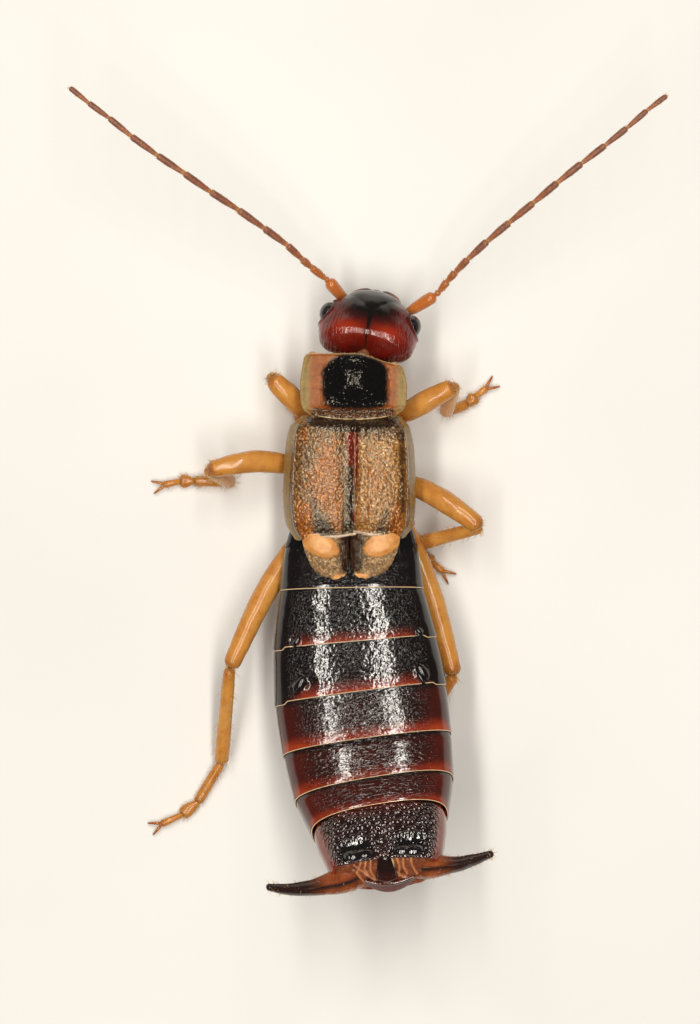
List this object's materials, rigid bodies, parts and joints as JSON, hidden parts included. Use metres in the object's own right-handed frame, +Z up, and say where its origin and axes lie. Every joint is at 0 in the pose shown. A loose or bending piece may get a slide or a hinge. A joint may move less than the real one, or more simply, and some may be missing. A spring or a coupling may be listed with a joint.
{
  "type": "earwig",
  "caption": "Life-size still model of a female earwig, standing with its tail raised and its short forceps spread, feelers swept forward.",
  "frame": {"origin": "middle of the model's box on the floor it stands on", "axes": "+Z up, the animal faces -Y with its raised tail towards +Y, and its own left side is towards +X"},
  "size_m": [0.012, 0.0162, 0.0043],
  "materials": {
    "head_shell": "dark wine red chitin, black in front, smooth and glossy with fine striae",
    "eye": "black faceted eye, very glossy",
    "amber_skin": "translucent yellow-orange chitin, glossy, with fine pale hairs",
    "feeler": "dark brown, finely haired, with pale joints",
    "shield": "black glossy disc with amber bands and pale see-through edges",
    "wing_case": "tan to bronze leathery forewing with a fine wrinkled sparkle",
    "wing_tip": "pale tan folded hind wing tip with a dark middle",
    "black_shell": "black to red-brown chitin, glossy, finely granular",
    "red_shell": "dark red-brown chitin, glossy, finely granular",
    "horn": "orange-brown hard chitin, darker to the tips, glossy",
    "membrane": "pale soft skin between the plates",
    "hair": "fine pale bristles"
  },
  "bodies": {
    "root": {"abdomen_1": "black_shell", "abdomen_10": "red_shell", "abdomen_2": "black_shell", "abdomen_3": "black_shell", "abdomen_4": "red_shell", "abdomen_5": "red_shell", "abdomen_6": "red_shell", "abdomen_7": "red_shell", "antenna_left_far": "feeler", "antenna_left_near": "feeler", "antenna_left_scape": "amber_skin", "antenna_right_far": "feeler", "antenna_right_near": "feeler", "antenna_right_scape": "amber_skin", "coxa_front_left": "amber_skin", "coxa_front_right": "amber_skin", "coxa_hind_left": "amber_skin", "coxa_hind_right": "amber_skin", "coxa_middle_left": "amber_skin", "coxa_middle_right": "amber_skin", "eye_left": "eye", "eye_right": "eye", "femur_front_left": "amber_skin", "femur_front_right": "amber_skin", "femur_hind_left": "amber_skin", "femur_hind_right": "amber_skin", "femur_middle_left": "amber_skin", "femur_middle_right": "amber_skin", "forceps_left": "horn", "forceps_right": "horn", "head": "head_shell", "labrum": "amber_skin", "mandible_left": "horn", "mandible_right": "horn", "palp_left": "amber_skin", "palp_right": "amber_skin", "pronotum": "shield", "prothorax": "amber_skin", "pygidium": "black_shell", "squama_left": "wing_tip", "squama_right": "wing_tip", "tarsus_front_left": "amber_skin", "tarsus_front_right": "amber_skin", "tarsus_hind_left": "amber_skin", "tarsus_hind_right": "amber_skin", "tarsus_middle_left": "amber_skin", "tarsus_middle_right": "amber_skin", "tegmen_left": "wing_case", "tegmen_right": "wing_case", "thorax": "amber_skin", "tibia_front_left": "amber_skin", "tibia_front_right": "amber_skin", "tibia_hind_left": "amber_skin", "tibia_hind_right": "amber_skin", "tibia_middle_left": "amber_skin", "tibia_middle_right": "amber_skin"}
  },
  "joints": []
}
